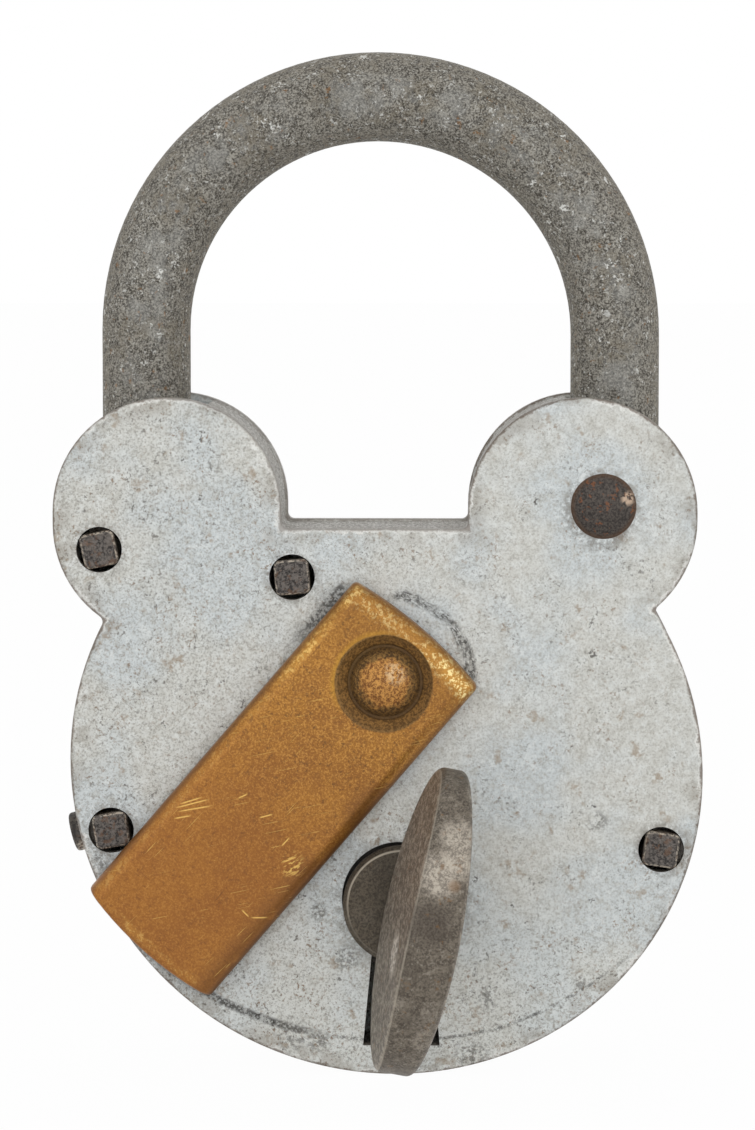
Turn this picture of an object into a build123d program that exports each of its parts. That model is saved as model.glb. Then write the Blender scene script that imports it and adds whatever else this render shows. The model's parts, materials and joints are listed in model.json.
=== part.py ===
from build123d import *

import os
from math import asin, atan2, cos, degrees, hypot, radians, sin

os.makedirs("parts", exist_ok=True)

# Riveted lever padlock, millimetres. +X right, +Z up towards the shackle, the front
# faces -Y. The origin is the centre of the shackle's bow, halfway through the case.
# "Front" heights count forwards from that mid-plane, so a front of 10 lies at Y = -10.

# Clearances
RUNNING_GAP = 0.05
SIDE_GAP = 0.1
FREE_GAP = 0.3
PATH_GAP = 0.5

# Shackle
BOW_R = 27.7
HEEL_BOW_R = 28.3
BAR_R = 5.28
TOE_LENGTH = 35.0
HEEL_EYE_R = 6.4
TOE_TIP_ROUND = 0.8

# Case
CASE_DEPTH = 20.0
PLATE = 2.0
PLATE_ROUND = 0.4
RIM = 1.4
RIM_INSET = 0.3
BODY_R = 37.0
BODY_OVAL = 0.62
BODY_TILT = 25.5
BODY_OFFSET = 1.19
BODY_BELOW_EARS = 30.3
EAR_R = 13.5
EAR_BELOW_BOW = 21.25
LEFT_EAR_STRETCH = 1.5
RIGHT_EAR_STRETCH = 0.9
LEFT_EAR_INSET = 3.04
RIGHT_EAR_INSET = 4.0
NECK_BELOW_EARS = 1.95
CORNER_ROUND = 0.8

# Pivot rivet of the shackle
PIVOT_FROM_EAR = (2.45, 0.75)
PIVOT_R = 2.6
PIVOT_HEAD_R = 3.85
PIVOT_HEAD_RISE = 1.3

# Square rivets that hold the plates together
RIVET_SIDE = 4.1
RIVET_CORNER = 0.7
RIVET_PROUD = 0.5
RIVET_EDGE_ROUND = 0.4
RIVET_HOLE_R = 2.7
EAR_RIVET_MARGIN = 4.35
EAR_RIVET_ANGLE = 209.0
NECK_RIVET_MARGIN = 5.7
NECK_RIVET_FROM_EAR = 14.76
LOWER_RIVET_MARGIN = 3.7
LOWER_LEFT_ANGLE = 192.9
LOWER_RIGHT_ANGLE = -16.4
RIVET_TURNS = {"ear": 12.0, "neck": 5.0, "lower_left": 10.0, "lower_right": -8.0}

# Rivet that pins the rim to the lower left square rivet
RIM_RIVET_R = 1.0
RIM_RIVET_HEAD_R = 2.35
RIM_RIVET_HEAD = 1.9
RIM_RIVET_FRONT = 3.0
RIM_RIVET_GRIP = 3.6

# Brass drop over the keyhole
DROP_FROM_KEY = (-2.02, 26.65)
DROP_SWUNG = 40.7
DROP_REACH = 42.75
DROP_HEEL = 7.5
DROP_HEEL_BULGE = 0.9
DROP_WIDTH = 19.1
DROP_OFF_CENTRE = -0.85
DROP_CORNER = 0.7
DROP_HEIGHT = 3.0
DROP_WALL = 1.1
DROP_ROUND = 1.8
DROP_END_ROUND = 0.5
DROP_STANDOFF = 0.75
DISH_R = 5.6
DISH_DEPTH = 1.2
DISH_SLOPE = 45.0
DROP_DOME_R = 4.1
DROP_DOME_RISE = 2.0
DROP_RIVET_R = 1.6
DROP_TAIL_R = 2.6
DROP_TAIL = 0.8
DROP_WASHER_R = 4.6

# Keyhole and key
KEY_RIGHT_OF_BODY = 1.97
KEYHOLE_R = 6.8
KEYHOLE_OFF_KEY = (-0.4, 0.56)
SLOT_TOP = 6.2
SLOT_FOOT_LEFT = 4.7
SLOT_FOOT_RIGHT = 4.4
SLOT_REACH = 17.0
SLOT_MARGIN = 3.5
KEY_TURN = 4.0
KEY_SWEEP = 195.0
SHANK_R = 3.4
PIPE_R = 1.6
PIPE_FLOOR = 2.0
COLLAR_R = 7.05
COLLAR_PROUD = 1.6
COLLAR_BEVEL = 0.6
BOW_LENGTH = 35.7
BOW_DEPTH = 22.0
BOW_THICKNESS = 6.1
BOW_END_THICKNESS = 3.8
BOW_THICKEST_BELOW = 2.2
BOW_ROUND = 0.9
BOW_STANDOFF = 5.4
BOW_LEAN = 8.0
BOW_TWIST = 7.6
BOW_SHIFT = 0.1
BOW_RISE = 1.25
TANG_WIDTH = 7.0
TANG_THICKNESS = 3.6
BIT_TIP_GAP = 0.7
BIT_THICKNESS = 2.4
BIT_STEPS = (13.8, 15.2, 14.4, 15.5)

# Curtain, the turning guard behind the keyhole
CURTAIN_FLANGE_R = 8.2
CURTAIN_FLANGE = 1.0
CURTAIN_BOSS = 1.0

# Lever pack
LEVER_THICKNESS = 1.5
LEVER_GAP = 0.25
LEVER_HEIGHT = 9.0
LEVER_TAIL = 6.5
LEVER_EYE_R = 5.0
LEVER_LIFT = 2.8
BELLY_WIDTH = 6.0
BELLY_ROUND = 1.2
POST_FROM_KEY = (23.83, 22.6)
POST_R = 2.0
POST_SHOULDER_R = 4.0
GATE_WIDTH = 1.2
GATE_NECK = 0.45

# Bolt
BOLT_THICKNESS = 3.4
BOLT_THROW = 3.6
BOLT_BAND_TOP = 0.4
BOLT_BAND_HEIGHT = 8.2
BOLT_BAND_LENGTH = 26.0
BOLT_HEAD_LENGTH = 5.0
BOLT_HEAD_HEIGHT = 4.6
BOLT_WEB_WIDTH = 16.0
HORN_WIDTH = 4.0
HORN_DIP = 3.8
STUMP_WIDTH = 1.6
STUMP_HEIGHT = 2.4
STUMP_FROM_KEY = (-13.17, 26.1)
BED_MARGIN = 2.0

# Springs
SPRING_LEAF = 0.5
SPRING_WIDTH = 1.2
SPRING_FOOT = 4.0
SPRING_RUN = 14.0
SPRING_START = 6.0

# Places that follow from the sizes above
FACE = CASE_DEPTH / 2
INNER = FACE - PLATE
EAR_Z = -EAR_BELOW_BOW
LEFT_EAR = (-(BOW_R - LEFT_EAR_INSET), EAR_Z)
RIGHT_EAR = (HEEL_BOW_R - RIGHT_EAR_INSET, EAR_Z)
NECK_Z = EAR_Z - NECK_BELOW_EARS
BODY = (BODY_OFFSET, EAR_Z - BODY_BELOW_EARS)
PIVOT = (RIGHT_EAR[0] + PIVOT_FROM_EAR[0], RIGHT_EAR[1] + PIVOT_FROM_EAR[1])
BODY_LONG_R = BODY_R + BODY_OVAL
BODY_SHORT_R = BODY_R - BODY_OVAL
BODY_FOOT = BODY[1] - hypot(BODY_LONG_R * sin(radians(BODY_TILT)), BODY_SHORT_R * cos(radians(BODY_TILT)))
KEY = (BODY[0] + KEY_RIGHT_OF_BODY, BODY_FOOT + SLOT_MARGIN + SLOT_REACH)
DROP = (KEY[0] + DROP_FROM_KEY[0], KEY[1] + DROP_FROM_KEY[1])
POST = (KEY[0] + POST_FROM_KEY[0], KEY[1] + POST_FROM_KEY[1])
STUMP = (KEY[0] + STUMP_FROM_KEY[0], KEY[1] + STUMP_FROM_KEY[1])
BIT_R = SLOT_REACH - BIT_TIP_GAP
RIM_INNER_INSET = RIM_INSET + RIM
HEEL_THICKNESS = 2 * BAR_R + SIDE_GAP


def polar(centre, radius, angle):
    """Point at a radius and an angle, counted anticlockwise from +X, round a centre."""
    return (centre[0] + radius * cos(radians(angle)), centre[1] + radius * sin(radians(angle)))


def body_radius(angle):
    """Radius of the body's outline towards an angle."""
    turn = radians(angle + BODY_TILT)
    return BODY_LONG_R * BODY_SHORT_R / hypot(BODY_SHORT_R * cos(turn), BODY_LONG_R * sin(turn))


def body_facing(angle):
    """Angle that the body's outline faces at its point towards an angle."""
    turn = radians(angle + BODY_TILT)
    return degrees(atan2(sin(turn) / BODY_SHORT_R**2, cos(turn) / BODY_LONG_R**2)) - BODY_TILT


RIVETS = {
    "ear": polar(LEFT_EAR, EAR_R - EAR_RIVET_MARGIN, EAR_RIVET_ANGLE),
    "neck": (LEFT_EAR[0] + NECK_RIVET_FROM_EAR, NECK_Z - NECK_RIVET_MARGIN),
    "lower_left": polar(BODY, body_radius(LOWER_LEFT_ANGLE) - LOWER_RIVET_MARGIN, LOWER_LEFT_ANGLE),
    "lower_right": polar(BODY, body_radius(LOWER_RIGHT_ANGLE) - LOWER_RIVET_MARGIN, LOWER_RIGHT_ANGLE),
}
RIVET_REACH = (RIVET_SIDE / 2 - RIVET_CORNER) * 2**0.5 + RIVET_CORNER

# Layers behind the front plate, front to back
CURTAIN_FRONT = INNER - SIDE_GAP
CURTAIN_BACK = CURTAIN_FRONT - CURTAIN_FLANGE
PACK_FRONT = CURTAIN_BACK - FREE_GAP
PITCH = LEVER_THICKNESS + LEVER_GAP
LEVER_FRONTS = [PACK_FRONT - PITCH * i for i in range(len(BIT_STEPS))]
PACK_BACK = LEVER_FRONTS[-1] - LEVER_THICKNESS
BOLT_FRONT = PACK_BACK - LEVER_GAP
BOLT_BACK = BOLT_FRONT - BOLT_THICKNESS
BED_FRONT = BOLT_BACK - RUNNING_GAP
KEY_BACK = -INNER + FREE_GAP
COLLAR_BACK = FACE + SIDE_GAP
COLLAR_FRONT = FACE + COLLAR_PROUD

# Bolt and toe
TOE_SIDE = -BOW_R + BAR_R
BOLT_TIP = TOE_SIDE + PATH_GAP
NOTCH_DEPTH = BOLT_THROW
BAND_TOP = NECK_Z - RIM_INNER_INSET - BOLT_BAND_TOP
BAND_MID = BAND_TOP - BOLT_BAND_HEIGHT / 2
BAND_LEFT = BOLT_TIP + BOLT_HEAD_LENGTH
WEB_FOOT = KEY[1] + BIT_R + PATH_GAP
LAST_ANGLE = KEY_SWEEP - KEY_TURN - 180
BIT_SIDE_AT_END = KEY[0] - BIT_R * sin(radians(LAST_ANGLE)) - BIT_THICKNESS / 2 * cos(radians(LAST_ANGLE))
HORN_FACE = BIT_SIDE_AT_END - FREE_GAP + BOLT_THROW
TOE_RELIEF_R = hypot(PIVOT[0] - RIVETS["ear"][0], PIVOT[1] - RIVETS["ear"][1]) - RIVET_REACH - FREE_GAP
TOE_RELIEF_TOP = RIVETS["ear"][1] + RIVET_REACH + FREE_GAP

# Openings of the rim for the two shackle legs; the toe swings inwards as it passes the ear's top
EAR_TOP_OVER_PIVOT = EAR_Z + EAR_R - PIVOT[1]
TOE_SWING_R = ((PIVOT[0] - TOE_SIDE) ** 2 - EAR_TOP_OVER_PIVOT**2) ** 0.5
TOE_GATE_LEFT = -BOW_R - BAR_R - PATH_GAP
TOE_GATE_RIGHT = PIVOT[0] - TOE_SWING_R + PATH_GAP
HEEL_GATE_LEFT = HEEL_BOW_R - BAR_R - PATH_GAP
HEEL_GATE_FOOT = PIVOT[1] - HEEL_EYE_R


def front_plane(front, place=(0, 0), clockwise=0.0):
    """Sketch plane facing the front: local x right and y up, turned clockwise as seen."""
    turn = radians(-clockwise)
    return Plane(
        origin=(place[0], -front, place[1]),
        x_dir=(cos(turn), 0, sin(turn)),
        z_dir=(0, -1, 0),
    )


def keep(part, name):
    """Label a finished piece and write it as its own STEP file."""
    part.label = name
    export_step(part, f"parts/{name}.step")


def case_outline(inset):
    """Outline of the case: a nearly round body cut off at the neck, and two round ears."""
    ears = ((LEFT_EAR, LEFT_EAR_STRETCH, Align.MIN), (RIGHT_EAR, RIGHT_EAR_STRETCH, Align.MAX))
    with BuildSketch() as outline:
        with Locations(BODY):
            Ellipse(BODY_LONG_R - inset, BODY_SHORT_R - inset, rotation=-BODY_TILT)
        with Locations((BODY[0], NECK_Z - inset)):
            Rectangle(3 * BODY_R, 2 * BODY_R, align=(Align.CENTER, Align.MIN), mode=Mode.SUBTRACT)
        for ear, stretch, inner_side in ears:
            with Locations((ear[0], ear[1] - stretch / 2)):
                SlotCenterToCenter(stretch, 2 * (EAR_R - inset), rotation=90)
            with Locations(ear):
                Rectangle(EAR_R - inset, EAR_R, align=(inner_side, Align.MAX))
        corners = outline.vertices().filter_by(
            lambda v: v.Y < NECK_Z - inset + RUNNING_GAP
            and any(hypot(v.X - ear[0], v.Y - ear[1]) < EAR_R + stretch for ear, stretch, _ in ears)
        )
        fillet(corners, CORNER_ROUND)
    return outline.sketch


def keyhole_outline():
    """Round hole, worn off the key's axis, over a slot that flares for the bit."""
    with BuildSketch() as outline:
        with Locations((KEY[0] + KEYHOLE_OFF_KEY[0], KEY[1] + KEYHOLE_OFF_KEY[1])):
            Circle(KEYHOLE_R)
        with BuildLine():
            Polyline(
                (KEY[0] - SLOT_TOP / 2, KEY[1]),
                (KEY[0] - SLOT_FOOT_LEFT, KEY[1] - SLOT_REACH),
                (KEY[0] + SLOT_FOOT_RIGHT, KEY[1] - SLOT_REACH),
                (KEY[0] + SLOT_TOP / 2, KEY[1]),
                close=True,
            )
        make_face()
    return outline.sketch


def dome(place, front, radius, rise):
    """Dome-shaped rivet head that stands forward of a front height."""
    sphere_r = (radius**2 + rise**2) / (2 * rise)
    half = asin(radius / sphere_r) / 2
    middle = (sphere_r * sin(half), -front - rise + sphere_r * (1 - cos(half)))
    with BuildPart() as head:
        with BuildSketch(Plane(origin=(place[0], 0, place[1]))):
            with BuildLine():
                Line((0, -front), (radius, -front))
                ThreePointArc((radius, -front), middle, (0, -front - rise))
                Line((0, -front - rise), (0, -front))
            make_face()
        revolve(axis=Axis((place[0], 0, place[1]), (0, 1, 0)))
    return head.part


PLATE_OUTLINE = case_outline(0)
RIM_OUTSIDE = case_outline(RIM_INSET)
RIM_INSIDE = case_outline(RIM_INNER_INSET)
KEYHOLE = keyhole_outline()

# Strip between the plates, thinned where a square rivet stands against it
with BuildSketch() as rim_strip:
    add(RIM_OUTSIDE)
    add(RIM_INSIDE, mode=Mode.SUBTRACT)
    for rivet_name, rivet_place in RIVETS.items():
        with Locations(rivet_place):
            Rectangle(
                RIVET_SIDE + 2 * SIDE_GAP,
                RIVET_SIDE + 2 * SIDE_GAP,
                rotation=RIVET_TURNS[rivet_name],
                mode=Mode.SUBTRACT,
            )
RIM_STRIP = rim_strip.sketch

# Front and back plates
with BuildPart() as front_plate:
    with BuildSketch(front_plane(INNER)):
        add(PLATE_OUTLINE)
    extrude(amount=PLATE)
    fillet(front_plate.faces().sort_by(Axis.Y)[0].edges(), PLATE_ROUND)
    with BuildSketch(front_plane(INNER)):
        with Locations(*RIVETS.values()):
            Circle(RIVET_HOLE_R)
        with Locations(PIVOT):
            Circle(PIVOT_R + RUNNING_GAP)
        with Locations(DROP):
            Circle(DROP_RIVET_R + RUNNING_GAP)
        add(KEYHOLE)
    extrude(amount=PLATE, mode=Mode.SUBTRACT)
keep(front_plate.part, "front_plate")

with BuildPart() as back_plate:
    with BuildSketch(front_plane(-FACE)):
        add(PLATE_OUTLINE)
    extrude(amount=PLATE)
    fillet(back_plate.faces().sort_by(Axis.Y)[-1].edges(), PLATE_ROUND)
    with BuildSketch(front_plane(-FACE)):
        with Locations(*RIVETS.values()):
            Circle(RIVET_HOLE_R)
        with Locations(PIVOT):
            Circle(PIVOT_R + RUNNING_GAP)
        with Locations(POST):
            Circle(POST_R + RUNNING_GAP)
        with Locations(KEY):
            Circle(PIPE_R - SIDE_GAP + RUNNING_GAP)
    extrude(amount=PLATE, mode=Mode.SUBTRACT)
keep(back_plate.part, "back_plate")


# Rim round the body, open at the ears where the shackle passes
RIM_RIVET_POINT = polar(BODY, body_radius(LOWER_LEFT_ANGLE) - RIM_INSET, LOWER_LEFT_ANGLE)
RIM_RIVET_TURN = radians(body_facing(LOWER_LEFT_ANGLE))
RIM_RIVET_AXIS = (cos(RIM_RIVET_TURN), 0, sin(RIM_RIVET_TURN))
rim_rivet_plane = Plane(
    origin=(RIM_RIVET_POINT[0], -RIM_RIVET_FRONT, RIM_RIVET_POINT[1]), x_dir=(0, 1, 0), z_dir=RIM_RIVET_AXIS
)
with BuildPart() as rim_band:
    with BuildSketch(front_plane(-INNER)):
        add(RIM_STRIP)
        with Locations((TOE_GATE_LEFT, HEEL_GATE_FOOT)):
            Rectangle(4 * BODY_R, 2 * BODY_R, align=(Align.MIN, Align.MIN), mode=Mode.SUBTRACT)
    extrude(amount=2 * INNER)
    with BuildSketch(rim_rivet_plane):
        Circle(RIM_RIVET_R + RUNNING_GAP)
    extrude(amount=-RIM_RIVET_GRIP, mode=Mode.SUBTRACT)
keep(rim_band.part, "rim_band")

with BuildPart() as neck_band:
    with BuildSketch(front_plane(-INNER)):
        add(RIM_STRIP)
        with Locations((TOE_GATE_RIGHT, HEEL_GATE_FOOT)):
            Rectangle(
                HEEL_GATE_LEFT - TOE_GATE_RIGHT,
                2 * BODY_R,
                align=(Align.MIN, Align.MIN),
                mode=Mode.INTERSECT,
            )
    extrude(amount=2 * INNER)
keep(neck_band.part, "neck_band")

# Square rivets, hammered over proud of the front and flush with the back
for rivet_name, rivet_place in RIVETS.items():
    with BuildPart() as square_rivet:
        with BuildSketch(front_plane(-FACE, rivet_place)):
            RectangleRounded(RIVET_SIDE, RIVET_SIDE, RIVET_CORNER, rotation=RIVET_TURNS[rivet_name])
        extrude(amount=CASE_DEPTH + RIVET_PROUD)
        fillet(square_rivet.faces().sort_by(Axis.Y)[0].edges(), RIVET_EDGE_ROUND)
        if rivet_name == "lower_left":
            with BuildSketch(rim_rivet_plane):
                Circle(RIM_RIVET_R + RUNNING_GAP)
            extrude(amount=-RIM_RIVET_GRIP - RUNNING_GAP, mode=Mode.SUBTRACT)
    keep(square_rivet.part, f"{rivet_name}_rivet")

with BuildPart() as rim_rivet:
    with BuildSketch(rim_rivet_plane):
        Circle(RIM_RIVET_HEAD_R)
    extrude(amount=RIM_RIVET_HEAD)
    fillet(rim_rivet.edges().group_by(Axis(rim_rivet_plane.origin, RIM_RIVET_AXIS))[-1], RIVET_EDGE_ROUND)
    with BuildSketch(rim_rivet_plane):
        Circle(RIM_RIVET_R)
    extrude(amount=-RIM_RIVET_GRIP)
keep(rim_rivet.part, "rim_rivet")

# Shackle: a round bar bent to a bow, with a heel eye at the right and a notched toe at the left
with BuildPart() as shackle:
    with BuildLine(Plane.XZ) as bar_line:
        Line((-BOW_R, -TOE_LENGTH), (-BOW_R, 0))
        CenterArc((0, 0), BOW_R, 180, -90)
        CenterArc((0, BOW_R - HEEL_BOW_R), HEEL_BOW_R, 90, -90)
        Line((HEEL_BOW_R, BOW_R - HEEL_BOW_R), (HEEL_BOW_R, PIVOT[1]))
    with BuildSketch(Plane.XY.offset(-TOE_LENGTH)):
        with Locations((-BOW_R, 0)):
            Circle(BAR_R)
    sweep(path=bar_line.line)
    fillet(shackle.edges().group_by(Axis.Z)[0], TOE_TIP_ROUND)
    with BuildSketch(front_plane(-HEEL_THICKNESS / 2, PIVOT)):
        Circle(HEEL_EYE_R)
    extrude(amount=HEEL_THICKNESS)
    with BuildSketch(front_plane(-HEEL_THICKNESS / 2, PIVOT)):
        Circle(PIVOT_R + RUNNING_GAP)
    extrude(amount=HEEL_THICKNESS, mode=Mode.SUBTRACT)
    with BuildSketch(front_plane(-BAR_R)):
        with Locations((-BOW_R, TOE_RELIEF_TOP)):
            Rectangle(2 * BAR_R, TOE_LENGTH, align=(Align.MAX, Align.MAX))
        with Locations(PIVOT):
            Circle(TOE_RELIEF_R, mode=Mode.SUBTRACT)
        with Locations((TOE_SIDE - NOTCH_DEPTH, BAND_MID)):
            Rectangle(
                2 * BAR_R,
                BOLT_HEAD_HEIGHT + 2 * FREE_GAP,
                align=(Align.MIN, Align.CENTER),
            )
    extrude(amount=2 * BAR_R, mode=Mode.SUBTRACT)
keep(shackle.part, "shackle")

pivot_head = dome(PIVOT, FACE, PIVOT_HEAD_R, PIVOT_HEAD_RISE)
with BuildPart() as pivot_rivet:
    with BuildSketch(front_plane(-FACE, PIVOT)):
        Circle(PIVOT_R)
    extrude(amount=CASE_DEPTH)
    add(pivot_head)
keep(pivot_rivet.part, "pivot_rivet")

with BuildPart() as heel_collars:
    for collar_back in (-INNER, HEEL_THICKNESS / 2 + SIDE_GAP):
        with BuildSketch(front_plane(collar_back, PIVOT)):
            Circle(HEEL_EYE_R)
            Circle(PIVOT_R + RUNNING_GAP, mode=Mode.SUBTRACT)
        extrude(amount=INNER - HEEL_THICKNESS / 2 - SIDE_GAP)
keep(heel_collars.part, "heel_collars")

# Brass drop: a pressed cover with turned-down sides, dished round its rivet
DROP_BACK = FACE + DROP_STANDOFF
DROP_FRONT = DROP_BACK + DROP_HEIGHT
DISH_FLOOR = DROP_FRONT - DISH_DEPTH
DROP_HEEL_R = (DROP_WIDTH**2 / 4 + DROP_HEEL_BULGE**2) / (2 * DROP_HEEL_BULGE)
with BuildPart() as drop:
    with BuildSketch(front_plane(DROP_BACK, DROP, DROP_SWUNG)):
        with Locations((DROP_OFF_CENTRE, DROP_HEEL)):
            Rectangle(DROP_WIDTH, DROP_HEEL + DROP_REACH, align=(Align.CENTER, Align.MAX))
        Circle(DROP_REACH, mode=Mode.INTERSECT)
        with Locations((DROP_OFF_CENTRE, DROP_HEEL - DROP_HEEL_R)):
            Circle(DROP_HEEL_R, mode=Mode.INTERSECT)
    extrude(amount=DROP_HEIGHT)
    upright_edges = drop.edges().filter_by(Axis.Y)
    fillet(upright_edges.sort_by_distance((DROP[0], -DROP_BACK, DROP[1]))[:2], DROP_CORNER)
    top_edges = drop.faces().sort_by(Axis.Y)[0].edges()
    fillet(top_edges - top_edges.sort_by_distance((DROP[0], -DROP_FRONT, DROP[1]))[-1:], DROP_ROUND)
    end_face = drop.faces().sort_by_distance((DROP[0], -DROP_FRONT, DROP[1]))[-1]
    fillet(end_face.edges().filter_by(lambda e: e.center().Y < -DROP_BACK - DROP_HEIGHT / 2), DROP_END_ROUND)
    with BuildSketch(front_plane(DROP_BACK, DROP, DROP_SWUNG)):
        with Locations((DROP_OFF_CENTRE, DROP_HEEL - DROP_HEEL_BULGE - DROP_WALL)):
            Rectangle(
                DROP_WIDTH - 2 * DROP_WALL,
                DROP_HEEL + 2 * DROP_REACH,
                align=(Align.CENTER, Align.MAX),
            )
        Circle(DISH_R, mode=Mode.SUBTRACT)
    extrude(amount=DROP_HEIGHT - DROP_WALL, mode=Mode.SUBTRACT)
    with BuildSketch(front_plane(DROP_FRONT, DROP)):
        Circle(DISH_R)
    extrude(amount=-DISH_DEPTH, taper=DISH_SLOPE, mode=Mode.SUBTRACT)
    with BuildSketch(front_plane(DROP_BACK, DROP)):
        Circle(DROP_RIVET_R + RUNNING_GAP)
    extrude(amount=DROP_HEIGHT, mode=Mode.SUBTRACT)
keep(drop.part, "drop")

with BuildPart() as drop_washer:
    with BuildSketch(front_plane(FACE, DROP)):
        Circle(DROP_WASHER_R)
        Circle(DROP_RIVET_R + RUNNING_GAP, mode=Mode.SUBTRACT)
    extrude(amount=DROP_STANDOFF - RUNNING_GAP)
keep(drop_washer.part, "drop_washer")

drop_head = dome(DROP, DISH_FLOOR + RUNNING_GAP, DROP_DOME_R, DROP_DOME_RISE)
with BuildPart() as drop_rivet:
    with BuildSketch(front_plane(INNER - DROP_TAIL, DROP)):
        Circle(DROP_TAIL_R)
    extrude(amount=DROP_TAIL)
    with BuildSketch(front_plane(INNER, DROP)):
        Circle(DROP_RIVET_R)
    extrude(amount=DISH_FLOOR + RUNNING_GAP - INNER)
    add(drop_head)
keep(drop_rivet.part, "drop_rivet")

# Key: a piped shank with a stepped bit, a collar and a solid oval bow, bent and twisted by use
BOW_TURN = KEY_TURN + BOW_TWIST
BOW_ACROSS = Vector(cos(radians(BOW_TURN)), 0, -sin(radians(BOW_TURN)))
BOW_UP = Vector(sin(radians(BOW_TURN)), 0, cos(radians(BOW_TURN)))
BOW_OUT = BOW_ACROSS * sin(radians(BOW_LEAN)) + Vector(0, -cos(radians(BOW_LEAN)), 0)
BOW_ROOT = Vector(KEY[0], -COLLAR_FRONT, KEY[1]) + BOW_ACROSS * BOW_SHIFT + BOW_UP * BOW_RISE
BOW_MIDDLE = BOW_STANDOFF + BOW_DEPTH / 2
BOW_BULGE = (BOW_THICKNESS - BOW_END_THICKNESS) / 2
BOW_SIDE_R = (BOW_LENGTH**2 / 4 + BOW_BULGE**2) / (2 * BOW_BULGE)
bow_plane = Plane(origin=BOW_ROOT, x_dir=BOW_OUT, z_dir=BOW_OUT.cross(BOW_UP))
bow_root_plane = Plane(origin=BOW_ROOT, x_dir=BOW_UP, z_dir=BOW_OUT)
with BuildPart() as bow:
    with BuildSketch(bow_plane):
        with Locations((BOW_MIDDLE, 0)):
            Ellipse(BOW_DEPTH / 2, BOW_LENGTH / 2)
    extrude(amount=BOW_THICKNESS, both=True)
    with BuildSketch(bow_root_plane):
        with Locations((-BOW_THICKEST_BELOW, BOW_THICKNESS / 2 - BOW_SIDE_R)):
            Circle(BOW_SIDE_R)
        with Locations((-BOW_THICKEST_BELOW, BOW_SIDE_R - BOW_THICKNESS / 2)):
            Circle(BOW_SIDE_R, mode=Mode.INTERSECT)
    extrude(amount=BOW_STANDOFF + 2 * BOW_DEPTH, mode=Mode.INTERSECT)
    fillet(bow.edges(), BOW_ROUND)
with BuildPart() as key:
    with BuildSketch(front_plane(COLLAR_BACK, KEY, KEY_TURN)):
        Circle(COLLAR_R)
    extrude(amount=COLLAR_FRONT - COLLAR_BACK)
    chamfer(key.edges().group_by(Axis.Y)[0], COLLAR_BEVEL)
    with BuildSketch(front_plane(KEY_BACK, KEY, KEY_TURN)):
        Circle(SHANK_R)
    extrude(amount=COLLAR_FRONT - KEY_BACK)
    with BuildSketch(bow_plane):
        with Locations((-COLLAR_PROUD / 2, 0)):
            Rectangle(BOW_MIDDLE, TANG_WIDTH, align=(Align.MIN, Align.CENTER))
    extrude(amount=TANG_THICKNESS / 2, both=True)
    add(bow.part)
    step_backs = [front - LEVER_THICKNESS - LEVER_GAP / 2 for front in LEVER_FRONTS]
    bit_layers = [(back, PITCH, step) for back, step in zip(step_backs, BIT_STEPS)]
    bit_layers.append((KEY_BACK + FREE_GAP, step_backs[-1] - KEY_BACK - FREE_GAP, BIT_R))
    for layer_back, layer_depth, reach in bit_layers:
        with BuildSketch(front_plane(layer_back, KEY, KEY_TURN)):
            Rectangle(BIT_THICKNESS, reach, align=(Align.CENTER, Align.MAX))
        extrude(amount=layer_depth)
    with BuildSketch(front_plane(KEY_BACK, KEY, KEY_TURN)):
        Circle(PIPE_R)
    extrude(amount=COLLAR_BACK - PIPE_FLOOR - KEY_BACK, mode=Mode.SUBTRACT)
keep(key.part, "key")

with BuildPart() as drill_pin:
    with BuildSketch(front_plane(-FACE, KEY)):
        Circle(PIPE_R - SIDE_GAP)
    extrude(amount=FACE + COLLAR_BACK - PIPE_FLOOR - PATH_GAP)
keep(drill_pin.part, "drill_pin")

with BuildPart() as curtain:
    with BuildSketch(front_plane(CURTAIN_BACK, KEY)):
        Circle(CURTAIN_FLANGE_R)
    extrude(amount=CURTAIN_FLANGE)
    with BuildSketch(front_plane(CURTAIN_FRONT, KEY)):
        Circle(KEYHOLE_R - hypot(*KEYHOLE_OFF_KEY) - SIDE_GAP)
    extrude(amount=SIDE_GAP + CURTAIN_BOSS)
    with BuildSketch(front_plane(CURTAIN_BACK, KEY, KEY_TURN)):
        Circle(SHANK_R + SIDE_GAP)
        Rectangle(
            BIT_THICKNESS + 2 * FREE_GAP,
            2 * CURTAIN_FLANGE_R,
            align=(Align.CENTER, Align.MAX),
        )
    extrude(amount=CURTAIN_FLANGE + SIDE_GAP + CURTAIN_BOSS, mode=Mode.SUBTRACT)
keep(curtain.part, "curtain")

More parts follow.
